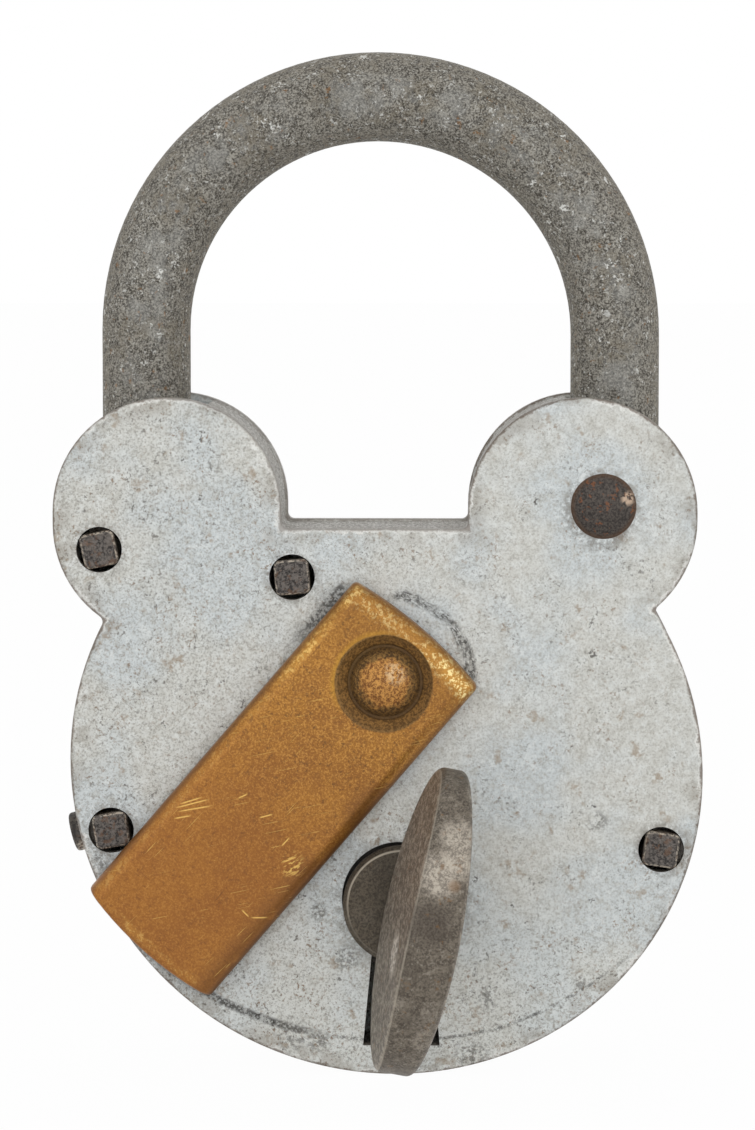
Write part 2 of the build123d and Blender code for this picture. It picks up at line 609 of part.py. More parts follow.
# Bolt with its head, guide slot, horn and stump
with BuildPart() as bolt:
    with BuildSketch(front_plane(BOLT_BACK)):
        with Locations((BAND_LEFT, BAND_TOP)):
            Rectangle(BOLT_BAND_LENGTH, BOLT_BAND_HEIGHT, align=(Align.MIN, Align.MAX))
        with Locations((BOLT_TIP, BAND_MID)):
            Rectangle(BOLT_HEAD_LENGTH, BOLT_HEAD_HEIGHT, align=(Align.MIN, Align.CENTER))
        with Locations((HORN_FACE, BAND_MID)):
            Rectangle(BOLT_WEB_WIDTH, BAND_MID - WEB_FOOT, align=(Align.MAX, Align.MAX))
        with Locations((HORN_FACE, BAND_MID)):
            Rectangle(HORN_WIDTH, BAND_MID - WEB_FOOT + HORN_DIP, align=(Align.MAX, Align.MAX))
        with Locations((RIVETS["neck"][0] + BOLT_THROW / 2, RIVETS["neck"][1])):
            Rectangle(
                2 * RIVET_REACH + BOLT_THROW + 2 * FREE_GAP,
                2 * RIVET_REACH + 2 * SIDE_GAP,
                mode=Mode.SUBTRACT,
            )
    extrude(amount=BOLT_THICKNESS)
    with BuildSketch(front_plane(BOLT_FRONT, STUMP)):
        Rectangle(STUMP_WIDTH, STUMP_HEIGHT)
    extrude(amount=PACK_FRONT - BOLT_FRONT)
keep(bolt.part, "bolt")

# Bed on the back plate that the bolt slides on
with BuildPart() as bolt_bed:
    with BuildSketch(front_plane(-INNER)):
        with Locations((BAND_LEFT + BED_MARGIN, BAND_TOP)):
            Rectangle(
                HORN_FACE - BAND_LEFT - BED_MARGIN,
                BAND_TOP - WEB_FOOT,
                align=(Align.MIN, Align.MAX),
            )
        with Locations(RIVETS["neck"]):
            Circle(RIVET_REACH + RUNNING_GAP, mode=Mode.SUBTRACT)
    extrude(amount=BED_FRONT + INNER)
keep(bolt_bed.part, "bolt_bed")

with BuildPart() as lever_post:
    with BuildSketch(front_plane(-FACE, POST)):
        Circle(POST_R)
    extrude(amount=FACE + INNER - SIDE_GAP)
    with BuildSketch(front_plane(-INNER, POST)):
        Circle(POST_SHOULDER_R)
    extrude(amount=INNER + PACK_BACK - RUNNING_GAP)
keep(lever_post.part, "lever_post")

# Levers: pivoted on the post, with a belly over the key and a gate round the bolt's stump
BELLY_LIFT = (POST[0] - KEY[0]) * radians(LEVER_LIFT)
STUMP_LIFT = (POST[0] - STUMP[0]) * radians(LEVER_LIFT)
LEVER_TOP = STUMP[1] + LEVER_HEIGHT / 2 - STUMP_LIFT / 2
WINDOW_LEFT = STUMP[0] - STUMP_WIDTH / 2 - BOLT_THROW - PATH_GAP
WINDOW_WIDTH = STUMP_WIDTH + BOLT_THROW + 2 * PATH_GAP
WINDOW_MID = STUMP[1] - STUMP_LIFT / 2
WINDOW_HEIGHT = STUMP_HEIGHT + STUMP_LIFT + 2 * PATH_GAP
LEVER_LEFT = WINDOW_LEFT - LEVER_TAIL / 2
for index, (lever_front, step) in enumerate(zip(LEVER_FRONTS, BIT_STEPS), start=1):
    belly_foot = KEY[1] + step + PATH_GAP - BELLY_LIFT
    with BuildPart() as lever:
        with BuildSketch(front_plane(lever_front - LEVER_THICKNESS)) as lever_sketch:
            with Locations((LEVER_LEFT, LEVER_TOP)):
                Rectangle(POST[0] - LEVER_LEFT, LEVER_HEIGHT, align=(Align.MIN, Align.MAX))
            with Locations((KEY[0], belly_foot)):
                RectangleRounded(
                    BELLY_WIDTH,
                    LEVER_TOP - belly_foot,
                    BELLY_ROUND,
                    align=(Align.CENTER, Align.MIN),
                )
            with Locations(POST):
                Circle(LEVER_EYE_R)
                Circle(POST_R + RUNNING_GAP, mode=Mode.SUBTRACT)
            with Locations((WINDOW_LEFT, WINDOW_MID)):
                Rectangle(
                    WINDOW_WIDTH, WINDOW_HEIGHT, align=(Align.MIN, Align.CENTER), mode=Mode.SUBTRACT
                )
            with Locations(
                (WINDOW_LEFT + WINDOW_WIDTH / 2, WINDOW_MID + WINDOW_HEIGHT / 2),
                (WINDOW_LEFT + WINDOW_WIDTH / 2, WINDOW_MID - WINDOW_HEIGHT / 2),
            ):
                Rectangle(GATE_WIDTH, 2 * GATE_NECK)
        extrude(amount=LEVER_THICKNESS)
    keep(lever.part, f"lever_{index}")

    # Leaf spring under the neck that presses the lever down
    spring_back = lever_front - (LEVER_THICKNESS + SPRING_WIDTH) / 2
    spring_top = NECK_Z - RIM_INNER_INSET
    spring_foot_x = BODY[0] + SPRING_START
    spring_drop = spring_top - LEVER_TOP - SPRING_LEAF
    with BuildPart() as lever_spring:
        with BuildSketch(front_plane(spring_back)):
            with BuildLine():
                Polyline(
                    (spring_foot_x + SPRING_FOOT, spring_top),
                    (spring_foot_x, spring_top),
                    (spring_foot_x - SPRING_RUN, spring_top - spring_drop),
                    (spring_foot_x - SPRING_RUN, spring_top - spring_drop - SPRING_LEAF),
                    (spring_foot_x, spring_top - 2 * SPRING_LEAF),
                    (spring_foot_x + SPRING_FOOT, spring_top - SPRING_LEAF),
                    close=True,
                )
            make_face()
        extrude(amount=SPRING_WIDTH)
    keep(lever_spring.part, f"lever_spring_{index}")
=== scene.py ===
import json
from math import cos, radians, sin

import bpy
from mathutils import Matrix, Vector


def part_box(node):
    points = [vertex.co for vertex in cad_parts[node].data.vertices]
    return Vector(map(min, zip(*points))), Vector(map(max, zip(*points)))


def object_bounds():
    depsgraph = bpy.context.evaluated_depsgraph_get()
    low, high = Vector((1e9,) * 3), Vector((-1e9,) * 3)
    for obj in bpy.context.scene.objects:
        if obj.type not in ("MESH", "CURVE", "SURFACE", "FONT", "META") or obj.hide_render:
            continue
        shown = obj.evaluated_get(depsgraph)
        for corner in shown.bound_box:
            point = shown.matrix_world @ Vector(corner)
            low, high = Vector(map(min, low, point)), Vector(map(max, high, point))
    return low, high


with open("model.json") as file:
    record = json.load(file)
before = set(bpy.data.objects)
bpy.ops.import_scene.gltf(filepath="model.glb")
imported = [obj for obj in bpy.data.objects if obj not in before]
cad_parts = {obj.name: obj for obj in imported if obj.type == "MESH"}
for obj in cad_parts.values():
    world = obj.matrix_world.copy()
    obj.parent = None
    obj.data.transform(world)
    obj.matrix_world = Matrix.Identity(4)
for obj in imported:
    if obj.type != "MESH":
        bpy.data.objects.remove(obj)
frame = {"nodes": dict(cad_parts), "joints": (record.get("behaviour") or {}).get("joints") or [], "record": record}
cad_low, cad_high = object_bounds()
nodes = frame["nodes"]
joints = {joint["name"]: joint for joint in frame["joints"]}
mounts = {mount["name"]: mount for mount in frame["record"]["mounts"]}


def flat(point):
    """X and Z of a point of the frame, in millimetres."""
    return point[0] * 1000, point[2] * 1000


def middle(node):
    """Middle of a node's box on the face."""
    low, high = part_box(node)
    return flat((low + high) / 2)


# Places on the lock's face, as X and Z, and sizes, all in millimetres
PIVOT = flat(joints["shackle_open"]["pos_m"])
DROP = flat(joints["drop_swing"]["pos_m"])
KEY = flat(joints["key_turn"]["pos_m"])
BODY = flat(mounts["back_face"]["pos_m"])
SQUARE_RIVETS = ("ear_rivet", "neck_rivet", "lower_left_rivet", "lower_right_rivet")
RIVET_HOLE_R = 2.6
PIVOT_HEAD_R = 3.75
# Centre of a painted shadow around the pivot's head, set to its lower left
PIVOT_SHADOW = (PIVOT[0] - 0.3, PIVOT[1] - 0.5)
# Place of a painted highlight on the pivot's domed head, partly wear
PIVOT_HIGHLIGHT = (PIVOT[0] + 2.85, PIVOT[1] + 0.95)
RIM_STUB_X = -36.2

# Outline of the plates: an oval body cut off at the neck, and two round ears with their stretch
BODY_LONG_R = 37.62
BODY_SHORT_R = 36.38
BODY_TILT = radians(25.5)
EAR_R = 13.5
EARS = (((-24.66, -21.25), 1.5), ((24.3, -21.25), 0.9))
NECK_Z = -23.2

# Depths: behind the front plate's back, and at the strip's two edges
FRONT_Y = (-8.0, -6.0)
RIM_EDGE_Y = (7.2, 8.1)

# The drop: how far it has swung, its outline about its rivet, the dish and the dome
DROP_SWUNG = radians(40.7)
DOWN_DROP = (-sin(DROP_SWUNG), -cos(DROP_SWUNG))
ACROSS_DROP = (cos(DROP_SWUNG), -sin(DROP_SWUNG))
DROP_HALF_WIDTH = 9.55
DROP_OFF_CENTRE = -0.85
DROP_HEEL = 7.5
DROP_HEEL_R = 51.1
DROP_REACH = 42.75
DISH = (DROP[0] - 0.15, DROP[1] - 0.1)
DISH_R = 5.65
DISH_FLOOR_R = 4.42
DOME_TOP_R = 2.5
DOME_FOOT_R = 3.5
DOME_SHEEN = (DROP[0] + 1.2, DROP[1] + 1.2)

# Tracks that the drop has rubbed: how far its heel's corners and its free end are from its rivet
RIGHT_TRACK_R = 10.0
LEFT_TRACK_R = 11.6
END_TRACK_R = 43.0

# Keyhole and the key's collar
KEYHOLE_R = 7.4
COLLAR_R = 7.05
COLLAR_FRONT = 11.6

# Marks with their reach: X, Y and Z on the key, X and Z on the face
SPOT_CORE = 0.3
# Places of painted highlights on the key's bow, partly wear
WORN_HIGHLIGHTS_ON_KEY = (
    ((9.9, -36.1, -56.1), 3.0),
    ((9.6, -37.2, -58.7), 3.0),
    ((6.5, -37.9, -59.3), 2.6),
    ((7.8, -38.0, -60.6), 3.0),
    ((2.6, -31.2, -69.0), 2.6),
    ((2.4, -32.6, -71.1), 2.6),
)
GLINT_ON_KEY = ((2.5, -31.9, -70.0), 3.2)
# Painted shade: a dark oval on the bow's broad face
DARK_OVAL_ON_KEY = ((6.7, -38.8, -65.4), 3.6)
RUST_ON_KEY = ((9.4, -37.9, -61.3), 1.0)
STAINS_ON_PLATE = (
    ((-3.5, -74.3), 2.2),
    ((-6.8, -68.6), 1.6),
    ((-32.9, -62.8), 1.8),
    ((-9.9, -83.6), 2.6),
    ((-6.9, -84.2), 2.0),
    ((11.4, -86.1), 2.8),
    ((24.1, -77.0), 1.1),
    ((26.3, -57.7), 1.6),
    ((13.2, -79.1), 1.8),
)

# Places of wear on the face, and scratches on the drop from one place to another
WORN_EAR = (-14.1, -13.6)
SCUFF_ON_DROP = (-9.8, -62.5)
SCRATCHES = (
    ((-23.8, -55.9), (-19.2, -54.7)),
    ((-23.5, -56.3), (-18.9, -55.5)),
    ((-23.8, -57.1), (-21.5, -56.7)),
    ((-23.1, -55.4), (-20.2, -54.5)),
    ((-16.2, -54.7), (-14.9, -54.1)),
    ((-13.8, -57.0), (-11.9, -56.5)),
    ((-11.1, -60.4), (-10.0, -59.2)),
    ((-11.0, -62.3), (-9.1, -61.5)),
    ((-15.8, -67.8), (-14.8, -68.8)),
    ((-14.8, -68.8), (-12.5, -68.8)),
)

# How far each shift moves the noise and the specks, so that no two patterns are alike
NOISE_STEP = (17.1, 9.7, 13.3)
SPECK_STEP = (7.3, 3.1, 5.7)

# Ground, light and camera: metres, watts, and millimetres for the lens and its sensor
WHITE = (1.0, 1.0, 1.0, 1.0)
FLOOR_REACH = 6.0
FLOOR_GLOW = 0.975
WORLD_LIGHT = 0.66
LIT_PLACE = (0.0, 0.0, -0.03)
LAMPS = (
    {"name": "front_light", "place": (-0.08, -1.0, 0.32), "size": 1.1, "power": 2.3},
    {"name": "side_light", "place": (0.75, -0.6, 0.15), "size": 0.5, "power": 0.6},
)
CAMERA_AZIMUTH = radians(1.3)
CAMERA_ELEVATION = radians(4.4)
CAMERA_DISTANCE = 0.5
CAMERA_TARGET = Vector((0.00018, -0.010, -0.02745))
CAMERA_LENS = 135.3
CAMERA_SENSOR = 36.0
CAMERA_CLIP = 0.01


class Wire:
    """A value or a colour on its way through a tree of nodes."""

    def __init__(self, nodes_around, socket):
        self.nodes_around = nodes_around
        self.socket = socket

    def out(self, name):
        """Another output of the same node."""
        return Wire(self.nodes_around, self.socket.node.outputs[name])

    def maths(self, operation, *others):
        return self.nodes_around.maths(operation, self, *others)

    def __add__(self, other):
        return self.maths("ADD", other)

    __radd__ = __add__

    def __sub__(self, other):
        return self.maths("SUBTRACT", other)

    def __rsub__(self, other):
        return self.nodes_around.maths("SUBTRACT", other, self)

    def __mul__(self, other):
        return self.maths("MULTIPLY", other)

    __rmul__ = __mul__

    def __truediv__(self, other):
        return self.maths("DIVIDE", other)

    def __abs__(self):
        return self.maths("ABSOLUTE")

    def least(self, other):
        return self.maths("MINIMUM", other)

    def most(self, other):
        return self.maths("MAXIMUM", other)

    def rise(self, start, end):
        """0 up to start, 1 from end, smooth between them."""
        return self.nodes_around.node(
            "ShaderNodeMapRange",
            {"interpolation_type": "SMOOTHSTEP"},
            {"Value": self, "From Min": start, "From Max": end},
        )

    def fall(self, start, end):
        """1 up to start, 0 from end, smooth between them."""
        return 1 - self.rise(start, end)


def paint(red, green, blue):
    """A colour as a screen shows it, 0 to 255, turned into light."""
    channels = [value / 255 for value in (red, green, blue)]
    light = [c / 12.92 if c <= 0.04045 else ((c + 0.055) / 1.055) ** 2.4 for c in channels]
    return (*light, 1.0)


class Nodes:
    """Nodes of a material or of the world."""

    def __init__(self, tree):
        self.tree = tree

    def node(self, kind, settings, sockets, output=0):
        """Add a node, set it, feed its inputs and return one of its outputs."""
        node = self.tree.nodes.new(kind)
        for name, value in settings.items():
            setattr(node, name, value)
        for name, value in sockets.items():
            self.feed(node.inputs[name], value)
        return Wire(self, node.outputs[output])

    def feed(self, socket, value):
        """Link a wire to an input, or give it a fixed value."""
        if isinstance(value, Wire):
            self.tree.links.new(value.socket, socket)
        else:
            socket.default_value = value

    def maths(self, operation, *values):
        return self.node("ShaderNodeMath", {"operation": operation}, dict(enumerate(values)))

    def mix(self, share, first, second):
        """Colour between two: the first at 0, the second at 1."""
        return self.node("ShaderNodeMix", {"data_type": "RGBA"}, {0: share, 6: first, 7: second}, 2)

    def seen(self):
        """1 for rays that show a thing to the eye, also in metal; 0 for rays that light it."""
        rays = self.node("ShaderNodeLightPath", {}, {}, "Is Camera Ray")
        return rays.most(rays.out("Is Glossy Ray")).most(rays.out("Is Transmission Ray"))


class Finish(Nodes):
    """Material of one kind of piece, laid out in millimetres of the lock's own frame."""

    def __init__(self, name):
        self.material = bpy.data.materials.new(name)
        self.material.use_nodes = True
        super().__init__(self.material.node_tree)
        self.shader = self.tree.nodes["Principled BSDF"]
        coordinates = self.node("ShaderNodeTexCoord", {}, {}, "Object")
        self.mm = self.scaled(coordinates, 1000.0)
        self.x = self.node("ShaderNodeSeparateXYZ", {}, {0: self.mm})
        self.y = self.x.out("Y")
        self.z = self.x.out("Z")
        facing = self.node("ShaderNodeSeparateXYZ", {}, {0: coordinates.out("Normal")})
        self.facing_right = facing
        self.facing_front = facing.out("Y") * -1.0

    def scaled(self, vector, factor):
        return self.node("ShaderNodeVectorMath", {"operation": "SCALE"}, {0: vector, "Scale": factor})

    def moved(self, vector, by):
        return self.node("ShaderNodeVectorMath", {}, {0: vector, 1: by})

    def streaks(self, angle, length, width, depth=1.0):
        """Coordinates turned about Y by an angle and drawn out to a length, a width and a depth."""
        return self.node(
            "ShaderNodeMapping",
            {"vector_type": "TEXTURE"},
            {"Vector": self.mm, "Rotation": (0.0, angle, 0.0), "Scale": (length, depth, width)},
        )

    def noise(self, size, detail=2.0, roughness=0.5, at=None, shift=0.0):
        """Cloudy value of about 0.5, with lumps of about a size in millimetres."""
        place = self.moved(at or self.mm, [shift * step for step in NOISE_STEP])
        return self.node(
            "ShaderNodeTexNoise",
            {},
            {"Vector": place, "Scale": 1.0 / size, "Detail": detail, "Roughness": roughness},
        )

    def flecks(self, size, start, end, shift):
        """Ragged flecks: the peaks of a rough noise between two of its values."""
        return self.noise(size, 3, 0.75, shift=shift).rise(start, end)

    def specks(self, spacing, size, bare, shift=0.0):
        """Lone specks up to a size across, about one to a spacing, with a share of places left bare."""
        wander = self.node(
            "ShaderNodeTexNoise", {}, {"Vector": self.mm, "Scale": 2.2 / size, "Detail": 2.0}, "Color"
        )
        place = self.moved(self.mm, [shift * step for step in SPECK_STEP])
        place = self.moved(place, self.scaled(wander, size * 2.5))
        from_speck = self.node(
            "ShaderNodeTexVoronoi", {}, {"Vector": place, "Scale": 1.0 / spacing}, "Distance"
        )
        chance = self.node("ShaderNodeSeparateColor", {}, {0: from_speck.out("Color")})
        radius = (chance - bare).most(0.0) * (size / 2 / (1 - bare))
        return (radius - from_speck * spacing).rise(0.0, size * 0.2)

    def away(self, place):
        """Distance from a place on the face, in millimetres."""
        dx = self.x - place[0]
        dz = self.z - place[1]
        return (dx * dx + dz * dz).maths("SQRT")

    def near(self, place, reach):
        """1 at a place in the frame, down to 0 at a reach from it, in millimetres."""
        gap = self.node(
            "ShaderNodeVectorMath", {"operation": "DISTANCE"}, {0: self.mm, 1: place}, "Value"
        )
        return gap.fall(reach * SPOT_CORE, reach)

    def along(self, place, direction):
        """Distance from a place along a direction on the face."""
        return (self.x - place[0]) * direction[0] + (self.z - place[1]) * direction[1]

    def bump(self, height, depth):
        """Normal for a height of 0 to 1 that stands for a depth in millimetres."""
        sockets = {"Height": height, "Distance": depth / 1000, "Strength": 1.0}
        return self.node("ShaderNodeBump", {}, sockets)

    def finish(self, colour, roughness, metallic, normal=None):
        """Feed the shader and return the material."""
        self.feed(self.shader.inputs["Base Color"], colour)
        self.feed(self.shader.inputs["Roughness"], roughness)
        self.feed(self.shader.inputs["Metallic"], metallic)
        if normal is not None:
            self.feed(self.shader.inputs["Normal"], normal)
        return self.material


def plate_inside(f):
    """How far a point of the plate lies inside its outline, in millimetres."""
    long_way = f.along(BODY, (cos(BODY_TILT), -sin(BODY_TILT))) / BODY_LONG_R
    short_way = f.along(BODY, (sin(BODY_TILT), cos(BODY_TILT))) / BODY_SHORT_R
    from_body = (long_way * long_way + short_way * short_way).maths("SQRT")
    inside = ((1 - from_body) * BODY_SHORT_R).least(NECK_Z - f.z)
    for ear, stretch in EARS:
        dx = f.x - ear[0]
        dz = f.z - (f.z.most(ear[1] - stretch)).least(ear[1])
        inside = inside.most(EAR_R - (dx * dx + dz * dz).maths("SQRT"))
    return inside


def rubbed_tracks(f):
    """Dark arcs where the drop's heel corners and free end slide, and a darker band along its left side near its
    heel.
    """
    from_drop = f.away(DROP)
    right_of_drop = f.x - DROP[0]
    over_drop = f.z - DROP[1]
    turn = right_of_drop.maths("ARCTAN2", over_drop)
    swept = f.node("ShaderNodeCombineXYZ", {}, {0: from_drop * 4.5, 1: turn * 14.0})
    charcoal = f.noise(1.0, 3, 0.75, at=swept, shift=31)
    broken = f.noise(2.2, 2, shift=37).rise(0.36, 0.56)
    wobble = (f.noise(3, 2, shift=41) - 0.5) * 1.6
    right_corner = abs(from_drop - RIGHT_TRACK_R + wobble).fall(0.3, 0.95) * right_of_drop.rise(0.0, 1.5)
    left_corner = abs(from_drop - LEFT_TRACK_R + wobble).fall(0.5, 1.3) * right_of_drop.fall(-4.5, -2.5)
    speckled = f.noise(0.5, 3, 0.75, shift=43).rise(0.42, 0.55)
    scuffs = charcoal.rise(0.39, 0.5) * (0.4 + speckled * 0.6)
    heel = right_corner.most(left_corner * 0.4) * over_drop.rise(-2.0, 1.0) * scuffs
    heel = heel * (0.55 + broken * 0.45)
    end_line = right_of_drop.rise(2.0, 14.0) * 0.6
    off_line = abs(from_drop - END_TRACK_R - end_line + wobble * 0.15)
    scuffed = off_line.fall(0.2, 0.7) * right_of_drop.fall(-13.0, -5.0) * (0.35 + speckled * 0.65)
    faint = off_line.fall(0.06, 0.32) * speckled * (0.35 + broken * 0.65) * 0.75
    beside = DROP_OFF_CENTRE - DROP_HALF_WIDTH - f.along(DROP, ACROSS_DROP)
    down = f.along(DROP, DOWN_DROP)
    # A darker band along the drop's left edge, near its heel
    dark_band_beside_drop = (beside + wobble * 0.3).fall(0.8, 1.5) * beside.rise(-0.6, -0.2)
    dark_band_beside_drop = dark_band_beside_drop * down.rise(-6.2, -4.6) * down.fall(0.0, 6.0)
    heel = heel.most(dark_band_beside_drop * (0.4 + speckled * 0.6))
    return heel.most(scuffed.most(faint) * over_drop.fall(-36.0, -24.0))


def zinc_plate():
    """Dull zinc-grey sheet: fine brown speckle, worn edges, the tracks that the drop has worn, and a painted
    shadow around the pivot's head.
    """
    f = Finish("zinc_plate")
    cloud = f.noise(13, 2)
    patch = f.noise(4, 3, 0.6, shift=3)
    mottle = f.noise(1.0, 4, 0.75, shift=5)
    grain = f.noise(0.26, 3, 0.75, shift=7)
    colour = f.mix(cloud.rise(0.4, 0.6), paint(203, 209, 210), paint(209, 209, 203))
    lower_part = f.z.fall(-84.0, -60.0)
    colour = f.mix(lower_part * 0.3, colour, paint(238, 241, 237))
    colour = f.mix(mottle.rise(0.5, 0.64) * 0.5, colour, paint(182, 180, 171))
    colour = f.mix(mottle.fall(0.36, 0.49) * 0.5, colour, paint(228, 231, 229))
    dirty = f.x.fall(-14.0, 20.0).most(f.z.fall(-82.0, -62.0))
    colour = f.mix(grain.rise(0.53, 0.6) * (0.32 + dirty * 0.22), colour, paint(138, 133, 124))
    colour = f.mix(grain.fall(0.38, 0.49) * 0.22, colour, paint(240, 242, 239))
    crowd = 0.2 + dirty * 0.2 + lower_part * 0.2 + patch.rise(0.46, 0.6) * 0.6
    dust = f.flecks(0.46, 0.57, 0.62, 11) * crowd
    brown = f.noise(2.4, 2, 0.5, shift=13).rise(0.44, 0.58)
    colour = f.mix(dust * 0.7, colour, f.mix(brown, paint(102, 98, 92), paint(140, 112, 84)))
    pricks = f.specks(2.3, 0.9, 0.6, shift=2)
    colour = f.mix(pricks * 0.8, colour, paint(62, 56, 50))
    smudge = f.noise(3.0, 3, 0.65, shift=15).rise(0.6, 0.68) * mottle.rise(0.44, 0.56)
    colour = f.mix(smudge * 0.5, colour, paint(152, 128, 100))
    inside = plate_inside(f)
    ragged = inside + (mottle - 0.5) * 2.4
    neck = (f.z - NECK_Z).rise(-1.4, -0.9) * f.x.rise(-28.0, -22.0) * f.x.fall(10.0, 12.0)
    worn = ragged.fall(0.2, 0.65) * f.noise(6, 2, shift=17).rise(0.46, 0.6).most(neck * 0.65)
    ear_wear = f.away(WORN_EAR).fall(1.5, 4.5) * ragged.fall(0.5, 1.2)
    worn = worn.most(ear_wear * mottle.fall(0.4, 0.58))
    colour = f.mix(worn * 0.75, colour, paint(238, 237, 232))
    dull = ragged.fall(0.6, 3.0) * patch.rise(0.46, 0.6) * (1 - worn)
    colour = f.mix(dull * 0.4, colour, paint(138, 128, 114))
    edge_line = (inside + (mottle - 0.5) * 1.4).fall(0.08, 0.36) * (1 - neck * 0.3)
    colour = f.mix(edge_line * 0.8, colour, paint(106, 90, 76))
    on_front = f.y.fall(*FRONT_Y)
    track = rubbed_tracks(f) * on_front
    colour = f.mix(track * 0.88, colour, paint(62, 60, 56))
    # Grime around the keyhole and the square rivets' holes, and a painted shadow around the pivot's head
    grime_and_pivot_shadow = f.away(KEY).fall(KEYHOLE_R, KEYHOLE_R + 2.1) * on_front * 0.5
    for rivet in SQUARE_RIVETS:
        from_rivet = f.away(middle(rivet))
        grime_and_pivot_shadow = grime_and_pivot_shadow.most(from_rivet.fall(RIVET_HOLE_R, RIVET_HOLE_R + 1.4) * 0.7)
    # Painted shadow around the pivot's head, strongest to its lower left
    from_head = f.away(PIVOT_SHADOW)
    grime_and_pivot_shadow = grime_and_pivot_shadow.most(from_head.fall(PIVOT_HEAD_R + 0.05, PIVOT_HEAD_R + 1.65) * 0.9)
    colour = f.mix(grime_and_pivot_shadow * mottle.rise(0.4, 0.58) * 0.65, colour, paint(104, 97, 88))
    stain = 0.0
    for place, reach in STAINS_ON_PLATE:
        stain = f.away(place).fall(reach * SPOT_CORE, reach).most(stain)
    stain = stain * on_front * f.flecks(0.6, 0.46, 0.56, 33)
    colour = f.mix(stain * 0.62, colour, paint(84, 80, 74))
    side = abs(f.facing_front).fall(0.25, 0.6)
    side_colour = f.mix(grain.rise(0.4, 0.6), paint(104, 94, 82), paint(170, 166, 158))
    colour = f.mix(side, colour, side_colour)
    height = mottle * 0.6 + patch * 0.4 - dust * 0.2
    roughness = 0.5 + dust * 0.2 + track * 0.1 - worn * 0.12
    return f.finish(colour, roughness, metallic=0.25, normal=f.bump(height, depth=0.06))


def grey_rim():
    """Strip between the plates: duller and darker than they are, brown towards its edges."""
    f = Finish("grey_rim")
    grain = f.noise(0.32, 3, 0.75)
    cloud = f.noise(5, 3, 0.6, shift=3)
    colour = f.mix(grain.rise(0.42, 0.58), paint(124, 120, 112), paint(216, 214, 209))
    rolled = f.noise(0.35, 3, 0.75, at=f.streaks(0.0, 1.0, 1.0, 5.0), shift=9)
    colour = f.mix(rolled.rise(0.5, 0.6) * 0.45, colour, paint(112, 106, 97))
    colour = f.mix(rolled.fall(0.4, 0.5) * 0.35, colour, paint(226, 225, 221))
    colour = f.mix(cloud.rise(0.48, 0.64) * 0.35, colour, paint(138, 131, 119))
    colour = f.mix(f.flecks(0.5, 0.58, 0.65, 5) * 0.6, colour, paint(98, 90, 80))
    edge = abs(f.y).rise(*RIM_EDGE_Y) * grain.rise(0.38, 0.56)
    colour = f.mix(edge * 0.6, colour, paint(92, 78, 66))
    roughness = 0.55 + grain * 0.15
    return f.finish(colour, roughness, metallic=0.25, normal=f.bump(grain, depth=0.06))


def pitted_shackle():
    """Forged bar, dark grey and pitted all over, with zinc-white flecks left on it, a painted highlight on its
    front and painted shade at its sides.
    """
    f = Finish("pitted_shackle")
    fine = f.noise(0.24, 3, 0.8)
    lumps = f.noise(0.9, 3, 0.7, shift=3)
    cloud = f.noise(6, 2, shift=5)
    rough = fine * 0.75 + lumps * 0.25
    colour = f.mix(rough.rise(0.41, 0.59), paint(70, 65, 57), paint(174, 170, 160))
    front = abs(f.facing_front)
    # Painted highlight: patchy lighter colour on the faces of the bar that look to the front
    painted_front_highlight = front.rise(0.8, 1.0) * f.noise(3.2, 3, 0.6, shift=9).rise(0.44, 0.58)
    colour = f.mix(painted_front_highlight * 0.4, colour, paint(166, 166, 162))
    # Painted shade: browner on the sides of the bar; also tan in random clouds
    tan_and_side_shade = front.fall(0.35, 0.9).most(cloud.rise(0.48, 0.62)) * lumps.rise(0.4, 0.56)
    colour = f.mix(tan_and_side_shade * 0.4, colour, paint(114, 103, 82))
    pits = f.flecks(0.55, 0.57, 0.64, 11)
    colour = f.mix(pits * 0.4, colour, paint(60, 55, 47))
    rust = f.noise(1.3, 3, 0.65, shift=7).rise(0.64, 0.72)
    colour = f.mix(rust * 0.6, colour, paint(148, 106, 58))
    crowd = 0.35 + f.noise(3.5, 2, shift=13).rise(0.42, 0.6) * 0.65
    salt = f.specks(1.7, 1.1, 0.35, shift=4)
    white = (f.flecks(0.5, 0.59, 0.65, 17) * crowd * 0.8).most(salt * crowd)
    colour = f.mix(white * 0.9, colour, paint(232, 232, 227))
    height = rough + white * 0.15 - pits * 0.25
    roughness = 0.56 + fine * 0.2 - white * 0.1
    return f.finish(colour, roughness, metallic=0.35, normal=f.bump(height, depth=0.16))


